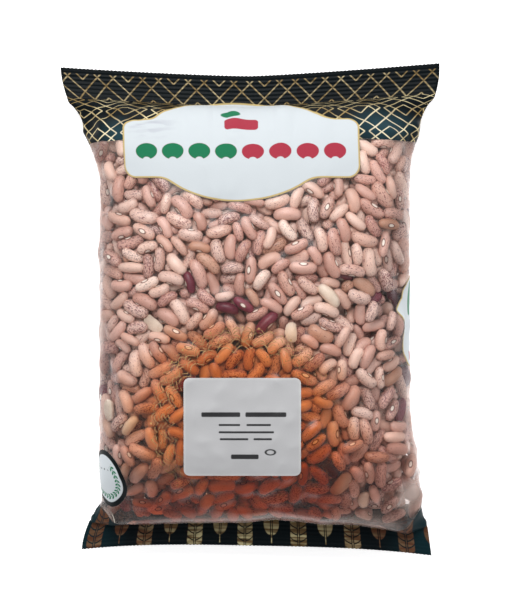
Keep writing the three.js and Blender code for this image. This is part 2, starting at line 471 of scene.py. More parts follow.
halves = nearest_at_front(HALF_SPOTS)
bold = nearest_at_front(BOLD_SPOTS)
wine = nearest_at_front(WINE_SPOTS)
HALF_RISE = 1.8
round_side_out = np.arange(len(halves)) % 2
outwards = -wall_way[halves]
flat_side = unit(outwards - np.sum(outwards * axes[halves], axis=1, keepdims=True) * axes[halves])
flat_side = flat_side * np.where(round_side_out, 1, -1)[:, None]
turns[halves] = np.stack([axes[halves], np.cross(flat_side, axes[halves]), flat_side], axis=-1)
centres[halves] += outwards * np.where(round_side_out, 0, HALF_RISE)[:, None]

BEAN_FLOOR = 0.3
bean_pieces = []


def numbered(model):
    """A model's corners and faces in the order of their places, since Blender's own order varies by run."""
    corners = np.round([v.co for v in model.data.vertices], 4)
    order = np.lexsort(corners.T)
    rank = np.argsort(order)
    faces = []
    for face in model.data.polygons:
        named = rank[list(face.vertices)].tolist()
        first = 0 if len(named) == 4 else named.index(min(named))
        faces.append(named[first:] + named[:first])
    return corners[order], sorted(faces)


def heap(name, model, members, material):
    """Copies of a model bean, one for each member, in one mesh that keeps each bean's own coordinates."""
    local, faces = numbered(model)
    stretched = local[None] * stretch[members][:, None]
    places = np.einsum("nij,nkj->nki", turns[members], stretched) + centres[members][:, None]
    places[..., 2] = np.maximum(places[..., 2], BEAN_FLOOR)
    count = len(local)
    mesh = bpy.data.meshes.new(name)
    corners_of = np.concatenate([np.array(f) for f in faces])
    sizes_of = np.array([len(f) for f in faces])
    copies = len(members)
    mesh.vertices.add(count * copies)
    mesh.vertices.foreach_set("co", (places * MM).reshape(-1))
    mesh.loops.add(len(corners_of) * copies)
    all_corners = corners_of[None] + count * np.arange(copies)[:, None]
    mesh.loops.foreach_set("vertex_index", all_corners.reshape(-1))
    mesh.polygons.add(len(faces) * copies)
    starts = np.tile(sizes_of, copies).cumsum() - np.tile(sizes_of, copies)
    mesh.polygons.foreach_set("loop_start", starts)
    mesh.update(calc_edges=True)
    seed = random.random((copies, 3))
    own = mesh.attributes.new("own_place", "FLOAT_VECTOR", "POINT")
    own.data.foreach_set("vector", np.tile(local, (copies, 1)).reshape(-1))
    tone = mesh.attributes.new("tone", "FLOAT_VECTOR", "POINT")
    tone.data.foreach_set("vector", np.repeat(seed, count, axis=0).reshape(-1))
    mesh.shade_smooth()
    piece = bpy.data.objects.new(name, mesh)
    bpy.context.collection.objects.link(piece)
    mesh.materials.append(material)
    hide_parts("filled_bag")
    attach(piece, "root")
    bean_pieces.append(piece)


def seed_coat(name, pale, deep, fleck, fleck_share):
    """A dried seed coat: satin, each bean of its own tone from pale to deep, with flecks along it."""
    material, tree = new_material(name)
    tone = add(tree, "Attribute", attribute_name="tone")
    own = add(tree, "Attribute", attribute_name="own_place")
    tones = add(tree, "SeparateXYZ", [tone.outputs["Vector"]])
    shifted = add(tree, "VectorMath", {
        0: tone.outputs["Vector"], 1: (90, 70, 50), 2: own.outputs["Vector"],
    }, operation="MULTIPLY_ADD")
    blotch = add(tree, "TexNoise", {"Vector": shifted, "Scale": 0.22, "Detail": 2.0})
    mixed = add(tree, "Math", {
        0: blotch.outputs["Fac"], 1: 0.6, 2: tones.outputs["X"],
    }, operation="MULTIPLY_ADD")
    shade = add(tree, "MapRange", {"Value": mixed, "From Min": 0.15, "From Max": 1.35})
    base = add(tree, "Mix", {0: shade, 6: linear(pale), 7: linear(deep)}, data_type="RGBA")
    along = add(tree, "VectorMath", {0: shifted, 1: (0.75, 1.9, 1.9)}, operation="MULTIPLY")
    flecks = add(tree, "TexNoise", {"Vector": along, "Scale": 1.0, "Detail": 3.0, "Roughness": 0.65})
    level = add(tree, "Math", {
        0: tones.outputs["Y"], 1: 0.16, 2: 0.6 - fleck_share,
    }, operation="MULTIPLY_ADD")
    over = add(tree, "Math", [flecks.outputs["Fac"], level], operation="SUBTRACT")
    marked = add(tree, "MapRange", {"Value": over, "From Min": 0.0, "From Max": 0.05, "To Max": 0.85})
    coat = add(tree, "Mix", {0: marked, 6: base.outputs[2], 7: linear(fleck)}, data_type="RGBA")
    eye_place = (0, -BEAN["width"] * 0.42, 0)
    eye = add(tree, "VectorMath", {0: own.outputs["Vector"], 1: eye_place}, operation="SUBTRACT")
    flat_eye = add(tree, "VectorMath", {0: eye, 1: (0.62, 0.6, 1.25)}, operation="MULTIPLY")
    reach = add(tree, "VectorMath", [flat_eye], operation="LENGTH")
    rim = add(tree, "MapRange", {"Value": reach.outputs["Value"], "From Min": 1.75, "From Max": 1.35})
    rimmed = add(tree, "Mix", {0: rim, 6: coat.outputs[2], 7: linear("#7a4a3c")}, data_type="RGBA")
    white = add(tree, "MapRange", {"Value": reach.outputs["Value"], "From Min": 1.15, "From Max": 0.95})
    eyed = add(tree, "Mix", {0: white, 6: rimmed.outputs[2], 7: linear("#f3e8dc")}, data_type="RGBA")
    skin = add(tree, "BsdfPrincipled", {
        "Base Color": eyed.outputs[2], "Roughness": 0.42, "Specular IOR Level": 0.5,
    })
    add(tree, "OutputMaterial", [skin])
    return material


def split_half():
    """The inside of a dried bean: cream, dull and a little uneven."""
    material, tree = new_material("split bean half")
    own = add(tree, "Attribute", attribute_name="own_place")
    cloud = add(tree, "TexNoise", {"Vector": own.outputs["Vector"], "Scale": 0.35, "Detail": 2.0})
    tone = add(tree, "Mix", {0: cloud, 6: linear("#f0e0d0"), 7: linear("#dac6b0")}, data_type="RGBA")
    inner = add(tree, "BsdfPrincipled", {"Base Color": tone.outputs[2], "Roughness": 0.55})
    add(tree, "OutputMaterial", [inner])
    return material


KIND_SHARES = (0.36, 0.35, 0.235, 0.035, 0.02)
WINE_KIND, BOLD_KIND, HALF_KIND = 4, 5, 6
kinds = random.choice(len(KIND_SHARES), size=bean_count, p=KIND_SHARES)
kinds[bold] = BOLD_KIND
kinds[wine] = WINE_KIND
kinds[halves] = HALF_KIND
COATS = (
    ("beans_pale", "pale bean coat", "#f0d4c5", "#d9ae9c", "#8d4a4f", 0.075),
    ("beans_rose", "rose bean coat", "#e4bcae", "#c99b8b", "#7d3444", 0.095),
    ("beans_speckled", "speckled bean coat", "#e9cec1", "#d1a798", "#6d2737", 0.125),
    ("beans_tan", "tan bean coat", "#dab29c", "#c29178", "#7a3b2f", 0.075),
    ("beans_wine", "wine bean coat", "#8f3f50", "#5d2233", "#3c1420", 0.1),
    ("beans_bold", "boldly marked bean coat", "#f8e2d4", "#ecd0c2", "#55202e", 0.13),
)
for kind, (name, coat_name, pale, deep, fleck, fleck_share) in enumerate(COATS):
    coat = seed_coat(coat_name, pale, deep, fleck, fleck_share)
    heap(name, model_bean, np.flatnonzero(kinds == kind), coat)
heap("bean_halves", model_half, halves, split_half())
for model in (model_bean, model_half):
    bpy.data.objects.remove(model)

# The film
# Clear polypropylene film, 0.06 mm thick, printed on its inside. It is drawn over the beans and sinks a
# little between them. Both ends are welded by ribbed jaws and cut with a saw-toothed knife.
FILM_COLUMNS, SEAL_ROWS, BODY_ROWS = 384, 40, 176
even = np.linspace(-1, 1, BODY_ROWS + 1)
body_stations = FULL_HALF_LENGTH * (0.5 * even + 0.5 * np.sin(even * math.pi / 2))
bottom_cut = -FULL_HALF_LENGTH - BOTTOM_SEAL["depth"]
top_cut = FULL_HALF_LENGTH + TOP_SEAL["depth"]
bottom_stations = np.linspace(bottom_cut, -FULL_HALF_LENGTH, SEAL_ROWS + 1)[:-1]
top_stations = np.linspace(FULL_HALF_LENGTH, top_cut, SEAL_ROWS + 1)[1:]
stations = np.concatenate([bottom_stations, body_stations, top_stations])
skin = skin_grid(stations, FILM_COLUMNS)
ring = skin[:, :-1]

# Flat coordinates of the tube: round it from the middle of the front, and along it from the bag's middle.
# The print keeps its size in the middle and is evened out from there to the welds
EVEN_PRINT = 80
steps = np.linalg.norm(np.diff(ring, axis=0), axis=2)
reach = np.concatenate([np.zeros((1, FILM_COLUMNS)), np.cumsum(steps, axis=0)])
middle_row = SEAL_ROWS + BODY_ROWS // 2
reach = reach - reach[middle_row]
seal_reach = np.where(reach > 0, reach[SEAL_ROWS + BODY_ROWS], -reach[SEAL_ROWS])
past_even = np.maximum(np.abs(reach) - EVEN_PRINT, 0) / (seal_reach - EVEN_PRINT)
past_even = past_even * (FLAT_SEAL_LINE - EVEN_PRINT)
flat_along = np.sign(reach) * (np.minimum(np.abs(reach), EVEN_PRINT) + past_even)
past_top = np.maximum(stations - FULL_HALF_LENGTH, 0)[:, None]
past_bottom = np.maximum(-FULL_HALF_LENGTH - stations, 0)[:, None]
flat_along = np.clip(flat_along, -FLAT_SEAL_LINE, FLAT_SEAL_LINE) + past_top - past_bottom
flat_round = np.linspace(-FLAT_HALF_GIRTH, FLAT_HALF_GIRTH, FILM_COLUMNS + 1)

along = np.gradient(ring, axis=0)
around = np.roll(ring, -1, axis=1) - np.roll(ring, 1, axis=1)
outward = unit(np.cross(around, along))

# Over the lower weld the film hangs forward with the beans
on_front = ease(outward[..., 2], 0.0, 0.25)
hanging = ease(FULL_HALF_LENGTH + stations, 0, 1.2)[:, None]
hung = ring.copy()
hung[..., 1] -= sag(ring[..., 0], stations[:, None]) * on_front * hanging

# How far the film may sink at each point before it meets a bean, as far out and in as a ray looks for one
LOOK_OUT, LOOK_IN = 3.0, 3.2
bean_points, bean_faces = [], []
offset = 0
for piece in bean_pieces:
    points = np.empty(len(piece.data.vertices) * 3)
    piece.data.vertices.foreach_get("co", points)
    bean_points.append(points.reshape(-1, 3) / MM)
    corners = np.empty(len(piece.data.loops), dtype=int)
    piece.data.loops.foreach_get("vertex_index", corners)
    starts = np.empty(len(piece.data.polygons), dtype=int)
    piece.data.polygons.foreach_get("loop_start", starts)
    bean_faces += [f.tolist() for f in np.split(corners + offset, starts[1:])]
    offset += len(piece.data.vertices)
bean_tree = BVHTree.FromPolygons(np.concatenate(bean_points).tolist(), bean_faces)
room_under = np.full(ring.shape[:2], LOOK_IN)
for i in range(SEAL_ROWS, SEAL_ROWS + BODY_ROWS + 1):
    for j in range(FILM_COLUMNS):
        start = Vector(hung[i, j] + outward[i, j] * LOOK_OUT)
        found = bean_tree.ray_cast(start, Vector(-outward[i, j]), LOOK_OUT + LOOK_IN)
        if found[3] is not None:
            room_under[i, j] = found[3] - LOOK_OUT

# The film pulls tight: each point moves to the mean of its neighbours and is drawn in, but only as far as the
# beans. The inks of the plaque and the emblem stiffen it, and at the bag's sides it is stretched
CLEARANCE = 0.32
LOWEST_SHARE = 0.65
SUCTION = 0.045
STIFF, STRETCHED = 0.97, 0.85
STIFF_PLAQUE = {"start": (52, 72), "half": 95, "soft": 16}
STIFF_EMBLEM = {"middle": (-98, -100), "reach": 26, "soft": 8}
PULLING_STEPS, SMOOTHING_STEPS = 260, 3
free = ease(FULL_HALF_LENGTH - np.abs(stations), 0, 6)[:, None]
sunk = np.zeros(ring.shape[:2])
lowest = room_under
for axis in (0, 1):
    lowest = np.minimum(np.minimum(np.roll(lowest, 1, axis=axis), np.roll(lowest, -1, axis=axis)), lowest)
limit = 0.35 * room_under + LOWEST_SHARE * lowest - CLEARANCE
limit[np.abs(stations) >= FULL_HALF_LENGTH] = 0
in_plaque = ease(STIFF_PLAQUE["half"] - np.abs(flat_round[:-1]), 0, STIFF_PLAQUE["soft"])[None]
taut = ease(flat_along, *STIFF_PLAQUE["start"]) * in_plaque
from_emblem = np.hypot(
    flat_round[:-1] - STIFF_EMBLEM["middle"][0], flat_along - STIFF_EMBLEM["middle"][1],
)
taut = np.maximum(taut, ease(STIFF_EMBLEM["reach"] - from_emblem, 0, STIFF_EMBLEM["soft"]))
over_side = 1 - ease(np.abs(outward[..., 2]), 0.2, 0.6)
pull = SUCTION * (1 - STIFF * taut) * (1 - STRETCHED * over_side)
for _ in range(PULLING_STEPS):
    mean = sum(np.roll(sunk, step, axis=axis) for step in (1, -1) for axis in (0, 1)) / 4
    sunk = np.minimum((mean + pull) * free, limit)
for _ in range(SMOOTHING_STEPS):
    sunk = sum(np.roll(sunk, step, axis=axis) for step in (1, -1, 0) for axis in (0, 1)) / 6
    sunk = np.minimum(sunk, limit)

# On the lip the film is pulled straight from the highest bean to the next
BRIDGE = 8
bridged = -sunk
for step in range(1, BRIDGE + 1):
    bridged = np.maximum(bridged, np.maximum(np.roll(-sunk, step, axis=1), np.roll(-sunk, -step, axis=1)))
bridged = sum(np.roll(bridged, step, axis=1) for step in range(-BRIDGE, BRIDGE + 1)) / (2 * BRIDGE + 1)
lip_rows = (ease(-stations, 112, 119) * ease(FULL_HALF_LENGTH + stations, 0, 2))[:, None]
sunk = sunk + (-bridged - sunk) * lip_rows
gap = np.clip(room_under - sunk, 0, 3)

# Pleats gather at each weld and run out into the bag, ribs cross the welds, and a saw-tooth ends them
PLEATS = {"waves": 7, "crest": 7, "top": 0.8, "bottom": 0.25}
RIB_PITCH, RIB_HEIGHT, RIBS_END = 2.4, 0.1, 15.8
TOOTH = 0.35
LEAST_HEIGHT = 0.1
pleats = random.uniform(0, 2 * math.pi, PLEATS["waves"])
waves = random.uniform(8, 30, PLEATS["waves"])
pattern = sum(np.sin(2 * math.pi * flat_round[:-1] / wave + start) for wave, start in zip(waves, pleats)) / 3
from_seal = FULL_HALF_LENGTH - np.abs(stations)
crest = from_seal / PLEATS["crest"]
gather = np.where(from_seal > 0, crest * np.exp(1 - crest), 0)[:, None]
pleat_height = np.where(stations > 0, PLEATS["top"], PLEATS["bottom"])[:, None]
raised = gather * np.maximum(pattern + 0.3, 0)[None] * pleat_height
ribs = RIB_HEIGHT * np.sin(2 * math.pi * flat_along / RIB_PITCH) * ease(-from_seal, 0.3, 1.2)[:, None]
ribs = ribs * (1 - ease(-from_seal - RIBS_END, 0, 0.6))[:, None]
shaped = hung + outward * (raised - sunk)[..., None]
shaped[..., 2] += ribs
teeth = TOOTH * (np.arange(FILM_COLUMNS) % 2)
shaped[0, :, 1] += teeth
shaped[-1, :, 1] -= teeth
shaped[0, :, 2] = shaped[1, :, 2]
shaped[-1, :, 2] = shaped[-2, :, 2]
opposite = (FILM_COLUMNS // 2 - np.arange(FILM_COLUMNS)) % FILM_COLUMNS
for end in (0, -1):
    shaped[end] = (shaped[end] + shaped[end][opposite]) / 2
shaped[..., 2] = np.maximum(shaped[..., 2], LEAST_HEIGHT)
shaped = np.concatenate([shaped, shaped[:, :1]], axis=1)
gap = np.concatenate([gap, gap[:, :1]], axis=1)
flat_along = np.concatenate([flat_along, flat_along[:, :1]], axis=1)

bpy.ops.object.select_all(action="DESELECT")
bpy.ops.mesh.primitive_grid_add(x_subdivisions=FILM_COLUMNS, y_subdivisions=len(stations) - 1, size=1)
film = bpy.context.object
film.name = "film"
film.data.vertices.foreach_set("co", (shaped * MM).reshape(-1))
closeness = film.data.attributes.new("gap", "FLOAT", "POINT")
closeness.data.foreach_set("value", gap.reshape(-1))
corner_of = np.empty(len(film.data.loops), dtype=int)
film.data.loops.foreach_get("vertex_index", corner_of)
flat = np.stack([np.broadcast_to(flat_round, flat_along.shape), flat_along], axis=-1).reshape(-1, 2)
film.data.uv_layers.active.data.foreach_set("uv", (flat[corner_of] * MM).reshape(-1))
film.data.update()
bpy.ops.object.mode_set(mode="EDIT")
bpy.ops.mesh.select_all(action="SELECT")
bpy.ops.mesh.remove_doubles(threshold=0.02 * MM)
bpy.ops.object.mode_set(mode="OBJECT")
bpy.ops.object.shade_smooth()

# The print on the film, worked out in millimetres on the flat tube: X round it from the middle of the front,
# Y along it from the bag's middle. Inks: a near-black blue, gold, white, green, red and a clear orange wash.
GOLD_LINE = 0.45
film_material, tree = new_material("printed clear polypropylene")
flat_place = add(tree, "VectorMath", {0: add(tree, "UVMap"), 1: (1000, 1000, 0)}, operation="MULTIPLY")
flat_xy = add(tree, "SeparateXYZ", [flat_place])
flat_x, flat_y = flat_xy.outputs["X"], flat_xy.outputs["Y"]


def moved_to(point, middle, scale=(1, 1)):
    """A point seen from a new middle, with both of its directions scaled."""
    moved = add(tree, "VectorMath", {0: point, 1: (*middle, 0)}, operation="SUBTRACT")
    return add(tree, "VectorMath", {0: moved, 1: (*scale, 0)}, operation="MULTIPLY")


def rounded_box(point, half, corner):
    """Distance outside a rounded rectangle round the middle."""
    size = add(tree, "VectorMath", [point], operation="ABSOLUTE")
    straight = (half[0] - corner, half[1] - corner, 0)
    past = add(tree, "VectorMath", {0: size, 1: straight}, operation="SUBTRACT")
    kept = add(tree, "VectorMath", {0: past, 1: (0, 0, 0)}, operation="MAXIMUM")
    length = add(tree, "VectorMath", [kept], operation="LENGTH").outputs["Value"]
    return add(tree, "Math", [length, corner], operation="SUBTRACT")


def disc(point, radius):
    """Distance outside a disc round the middle."""
    length = add(tree, "VectorMath", [point], operation="LENGTH").outputs["Value"]
    return add(tree, "Math", [length, radius], operation="SUBTRACT")


def inside(distance, edge=0.0, soft=0.2):
    """1 where a distance is under the edge, 0 past it, with a soft step."""
    return add(tree, "MapRange", {"Value": distance, "From Min": edge + soft, "From Max": edge - soft})


def line(distance, half=GOLD_LINE, soft=0.18):
    """1 within half a line's width of where a distance is nothing."""
    return inside(add(tree, "Math", [distance], operation="ABSOLUTE"), half, soft)


def both(*masks):
    """Masks multiplied: 1 only where all of them are."""
    made = masks[0]
    for mask in masks[1:]:
        made = add(tree, "Math", [made, mask], operation="MULTIPLY")
    return made


def either(*masks):
    """The strongest of some masks."""
    made = masks[0]
    for mask in masks[1:]:
        made = add(tree, "Math", [made, mask], operation="MAXIMUM")
    return made


def printed_over(mask, under, colour):
    """A colour printed over what lies under it where the mask is 1."""
    colour = linear(colour) if isinstance(colour, str) else colour
    return add(tree, "Mix", {0: mask, 6: under, 7: colour}, data_type="RGBA").outputs[2]


# Both bands: the lower one climbs a little at the sides, where the film is pleated
TOP_BAND_START, BOTTOM_BAND_START = 101, -136
side_x = add(tree, "Math", [flat_x], operation="ABSOLUTE")
climb = add(tree, "MapRange", {
    "Value": side_x, "From Min": 76, "From Max": 108, "To Max": 13.5,
}, interpolation_type="SMOOTHSTEP")
below = add(tree, "Math", [flat_y, climb], operation="SUBTRACT")
top_band = inside(add(tree, "Math", [TOP_BAND_START, flat_y], operation="SUBTRACT"), soft=0.15)
bottom_band = inside(below, BOTTOM_BAND_START, soft=0.3)

# Gold lattice of the top band: slanting lines from one row of small diamonds to the corners of the next row.
# Part of it is tucked in under the weld, and the weld gathers the film by about a tenth
LATTICE = {"pitch": 26.7, "row": 20.4, "middle": (8.4, 154.6), "reach": 18.1, "half": 0.36, "end": 14.8}
WELD_LINE = 138
tucked = add(tree, "MapRange", {"Value": flat_y, "From Min": WELD_LINE, "From Max": 127, "To Max": 13.2})
gathered = add(tree, "MapRange", {
    "Value": flat_y, "From Min": WELD_LINE, "From Max": 110, "To Min": 1.0, "To Max": 1.14,
})
lattice_point = add(tree, "CombineXYZ", [
    add(tree, "Math", [flat_x, gathered], operation="DIVIDE"),
    add(tree, "Math", [flat_y, tucked], operation="SUBTRACT"),
])
SLANT_STARTS = ((0.479, -0.286), (0.021, -0.479))
lattice_lines = []
for row in (0, 1):
    for side in (1, -1):
        for along_pitch, down_pitch in SLANT_STARTS:
            middle = (
                LATTICE["middle"][0] + (side * along_pitch + row / 2) * LATTICE["pitch"],
                LATTICE["middle"][1] + down_pitch * LATTICE["pitch"] - row * LATTICE["row"],
            )
            cell = add(tree, "VectorMath", {
                0: moved_to(lattice_point, middle),
                1: (LATTICE["pitch"] / 2, LATTICE["row"], 1),
                2: (-LATTICE["pitch"] / 2, -LATTICE["row"], -1),
            }, operation="WRAP")
            level = add(tree, "VectorRotate", {
                "Vector": cell, "Angle": side * math.pi / 4,
            }, rotation_type="Z_AXIS")
            bar = rounded_box(level, (LATTICE["reach"], LATTICE["half"]), LATTICE["half"] * 0.9)
            lattice_lines.append(inside(bar, soft=0.15))
lattice = both(top_band, either(*lattice_lines), inside(flat_y, WELD_LINE + LATTICE["end"]))

# Gold ears and buds of the bottom band, in turn: leaves in pairs on a thin stem, and a bowl of two leaves
EAR = {"pitch": 33.2, "middle": -3.5, "half": 4.9, "leaf": 4.0, "curve": 0.1, "vein": 0.4}
BUD = {"middle": -141.5, "radius": 4.7, "stem_top": -139, "stem_end": -153.2}
half_pitch = EAR["pitch"] / 2
shifted_x = add(tree, "Math", [flat_x, EAR["middle"]], operation="SUBTRACT")
ear_x = add(tree, "Math", {0: shifted_x, 1: -half_pitch, 2: half_pitch}, operation="WRAP")
bud_x = add(tree, "Math", {
    0: add(tree, "Math", [shifted_x, half_pitch], operation="ADD"), 1: -half_pitch, 2: half_pitch,
}, operation="WRAP")


def stem_and_gap(side):
    """A thin stem down the middle of a plant, what is left beside the dark gap round it, and the way out."""
    size = add(tree, "Math", [side], operation="ABSOLUTE")
    beside = add(tree, "Math", [1.0, inside(size, 0.85)], operation="SUBTRACT")
    return inside(size, 0.27, 0.15), beside, size


ear_stem, beside_ear, ear_side = stem_and_gap(ear_x)
bud_stem, beside_bud, _ = stem_and_gap(bud_x)
drooped = add(tree, "Math", {
    0: add(tree, "Math", [ear_side, 2.0], operation="POWER"), 1: -EAR["curve"], 2: flat_y,
}, operation="MULTIPLY_ADD")
between_leaves = add(tree, "Math", {0: drooped, 1: -EAR["leaf"] / 2, 2: EAR["leaf"] / 2}, operation="WRAP")
off_vein = add(tree, "Math", [1.0, line(between_leaves, EAR["vein"])], operation="SUBTRACT")
ear = either(both(inside(ear_side, EAR["half"]), beside_ear, off_vein), ear_stem)
bud_point = add(tree, "CombineXYZ", [bud_x, flat_y])
bowl = both(inside(disc(moved_to(bud_point, (0, BUD["middle"]), (1.0, 0.68)), BUD["radius"])), beside_bud)
above_end = inside(add(tree, "Math", [BUD["stem_end"], flat_y], operation="SUBTRACT"))
stem = both(bud_stem, inside(flat_y, BUD["stem_top"]), above_end)
bottom_gold = both(bottom_band, either(ear, bowl, stem))

# The white plaque, a rounded panel joined with an oval, in a thin gold rim. A row of plain beans runs along
# it, four green and four red, with a red bar and a green leaf above
PLAQUE = {"middle": (-6.6, 97.1), "half": (71.9, 19.9), "corner": 7.5}
OVAL = {"middle": (-8, 101.3), "half": (57, 38)}
RIM_LINE = 0.5
plaque_box = rounded_box(moved_to(flat_place, PLAQUE["middle"]), PLAQUE["half"], PLAQUE["corner"])
oval = disc(moved_to(flat_place, OVAL["middle"], (OVAL["half"][1] / OVAL["half"][0], 1)), OVAL["half"][1])
plaque_edge = add(tree, "Math", {0: plaque_box, 1: oval, 2: 5.0}, operation="SMOOTH_MIN")
plaque = inside(plaque_edge)
plaque_rim = line(plaque_edge, RIM_LINE)
BEAN_ROW = {"middle": (-6.6, 93.2), "pitch": 16.4, "count": 8, "radius": 6.7, "squat": 1.25}
row_point = moved_to(flat_place, BEAN_ROW["middle"])
row_xy = add(tree, "SeparateXYZ", [row_point])
row_x = add(tree, "Math", {0: row_xy.outputs["X"], 1: 0.0, 2: BEAN_ROW["pitch"]}, operation="WRAP")
printed_bean_point = add(tree, "CombineXYZ", [
    add(tree, "Math", [row_x, BEAN_ROW["pitch"] / 2], operation="SUBTRACT"), row_xy.outputs["Y"],
])
row_side = add(tree, "Math", [row_xy.outputs["X"]], operation="ABSOLUTE")
hollow = inside(disc(moved_to(printed_bean_point, (0, -6.6)), 2.9))
printed_beans = both(
    inside(disc(moved_to(printed_bean_point, (0, 0), (1, BEAN_ROW["squat"])), BEAN_ROW["radius"])),
    add(tree, "Math", [1.0, hollow], operation="SUBTRACT"),
    inside(row_side, BEAN_ROW["pitch"] * BEAN_ROW["count"] / 2),
)
green_beans = both(printed_beans, inside(row_xy.outputs["X"], 0.0))
red_bar = inside(rounded_box(moved_to(flat_place, (-5.5, 114)), (10.3, 4.6), 2.4))
green_leaf = inside(disc(moved_to(flat_place, (-12, 123), (0.5, 1)), 3.0))

# A round emblem at the lower left, half round the side: dark ring, white disc, green wreath and three dots
EMBLEM = {"middle": (-98.4, -100.3), "ring": 19.9, "disc": 16.7, "wreath": 13.0, "leaves": 28, "dots": 4.4}
emblem_point = moved_to(flat_place, EMBLEM["middle"], (1.1, 1.06))
emblem_ring = inside(disc(emblem_point, EMBLEM["ring"]))
emblem_disc = inside(disc(emblem_point, EMBLEM["disc"]))
emblem_xy = add(tree, "SeparateXYZ", [emblem_point])
angle = add(tree, "Math", [emblem_xy.outputs["Y"], emblem_xy.outputs["X"]], operation="ARCTAN2")
half_leaf = math.pi / EMBLEM["leaves"]
leaf_angle = add(tree, "Math", {0: angle, 1: -half_leaf, 2: half_leaf}, operation="WRAP")
leaf_across = add(tree, "Math", [leaf_angle, EMBLEM["wreath"]], operation="MULTIPLY")
wreath_radius = disc(emblem_point, EMBLEM["wreath"])
wreath_side = add(tree, "Math", [wreath_radius], operation="ABSOLUTE")
off_leaf = add(tree, "Math", [wreath_side, 1.1], operation="SUBTRACT")
wreath_point = add(tree, "CombineXYZ", [leaf_across, off_leaf])
leaf_point = add(tree, "VectorRotate", {"Vector": wreath_point, "Angle": 0.6}, rotation_type="Z_AXIS")
past_top = add(tree, "Math", [angle, math.pi / 2], operation="SUBTRACT")
from_top = add(tree, "Math", [past_top], operation="ABSOLUTE")
open_top = inside(add(tree, "Math", [0.75, from_top], operation="SUBTRACT"), soft=0.05)
leaves = inside(disc(moved_to(leaf_point, (0, 0), (0.75, 1.5)), 0.95))
wreath = both(either(leaves, line(wreath_radius, 0.22)), open_top)
dot_x = add(tree, "Math", {0: emblem_xy.outputs["X"], 1: 0.0, 2: EMBLEM["dots"]}, operation="WRAP")
dot_side = add(tree, "Math", [dot_x, EMBLEM["dots"] / 2], operation="SUBTRACT")
dot_point = add(tree, "CombineXYZ", [dot_side, emblem_xy.outputs["Y"]])
dots = both(inside(disc(moved_to(dot_point, (0, 7.0)), 0.7)), inside(wreath_radius, -3.5))

# A white panel at the right side with a blunt tip and a gold rim, and one on the back with ruled lines
side_point = moved_to(flat_place, (124, -6.5))
side_box = rounded_box(side_point, (28.5, 26), 10)
tip_middle = moved_to(side_point, (-13.7, 6.5))
tip_point = add(tree, "VectorRotate", {"Vector": tip_middle, "Angle": math.pi / 4}, rotation_type="Z_AXIS")
side_edge = add(tree, "Math", [side_box, rounded_box(tip_point, (15.5, 15.5), 1.5)], operation="MINIMUM")
side_panel = inside(side_edge)
side_rim = line(side_edge, RIM_LINE)
side_green = inside(rounded_box(moved_to(flat_place, (105, 7)), (2.4, 10), 1.8))
side_red = inside(rounded_box(moved_to(flat_place, (104, -26.5)), (2.0, 2.6), 1.2))
back_x = add(tree, "Math", [side_x, FLAT_HALF_GIRTH - 44], operation="SUBTRACT")
back_edge = rounded_box(moved_to(add(tree, "CombineXYZ", [back_x, flat_y]), (0, 0)), (34, 62), 5)
back_panel = inside(back_edge)
RULED_PITCH = 8.0
ruled_y = add(tree, "Math", {0: flat_y, 1: 0.0, 2: RULED_PITCH}, operation="WRAP")
off_line = add(tree, "Math", [ruled_y, RULED_PITCH / 2], operation="SUBTRACT")
ruled = both(line(off_line, 0.3), inside(back_edge, -6.0))

# A gold rosette round the label: rings of scallops and a ring of dots. Only its upper left shows clearly
ROSETTE = (-4.6, -65.5)
SCALLOPS = ((26, 41, 4), (26, 43.5, 4), (40, 46, 3), (40, 48, 3), (52, 51, 2.4), (52, 53, 2.4))
ROSETTE_DOTS = {"count": 36, "radius": 55.5, "size": 0.7}
rosette_point = moved_to(flat_place, ROSETTE)
rosette_xy = add(tree, "SeparateXYZ", [rosette_point])
rosette_angle = add(tree, "Math", [rosette_xy.outputs["Y"], rosette_xy.outputs["X"]], operation="ARCTAN2")
rosette_radius = add(tree, "VectorMath", [rosette_point], operation="LENGTH").outputs["Value"]
scallops = []
for count, start, depth in SCALLOPS:
    half_turns = add(tree, "Math", [rosette_angle, count / 2], operation="MULTIPLY")
    wave = add(tree, "Math", [half_turns], operation="SINE")
    bump = add(tree, "Math", [add(tree, "Math", [wave], operation="ABSOLUTE"), depth], operation="MULTIPLY")
    past_start = add(tree, "Math", [rosette_radius, start], operation="SUBTRACT")
    scallops.append(line(add(tree, "Math", [past_start, bump], operation="SUBTRACT"), 0.28, 0.2))
half_dot = math.pi / ROSETTE_DOTS["count"]
dots_angle = add(tree, "Math", {0: rosette_angle, 1: -half_dot, 2: half_dot}, operation="WRAP")
dots_point = add(tree, "CombineXYZ", [
    add(tree, "Math", [dots_angle, ROSETTE_DOTS["radius"]], operation="MULTIPLY"),
    add(tree, "Math", [rosette_radius, ROSETTE_DOTS["radius"]], operation="SUBTRACT"),
])
upper_left = add(tree, "VectorMath", {0: rosette_point, 1: (-0.6, 0.8, 0)}, operation="DOT_PRODUCT")
shown_part = add(tree, "MapRange", {
    "Value": upper_left.outputs["Value"], "From Min": -15, "From Max": 30, "To Min": 0.08, "To Max": 0.7,
})
wear = add(tree, "TexNoise", {"Vector": flat_place, "Scale": 0.3, "Detail": 2.0})
worn_off = add(tree, "MapRange", {"Value": wear.outputs["Fac"], "From Min": 0.38, "From Max": 0.55})
lace = either(*scallops, inside(disc(dots_point, ROSETTE_DOTS["size"])))
rosette = both(lace, shown_part, worn_off)
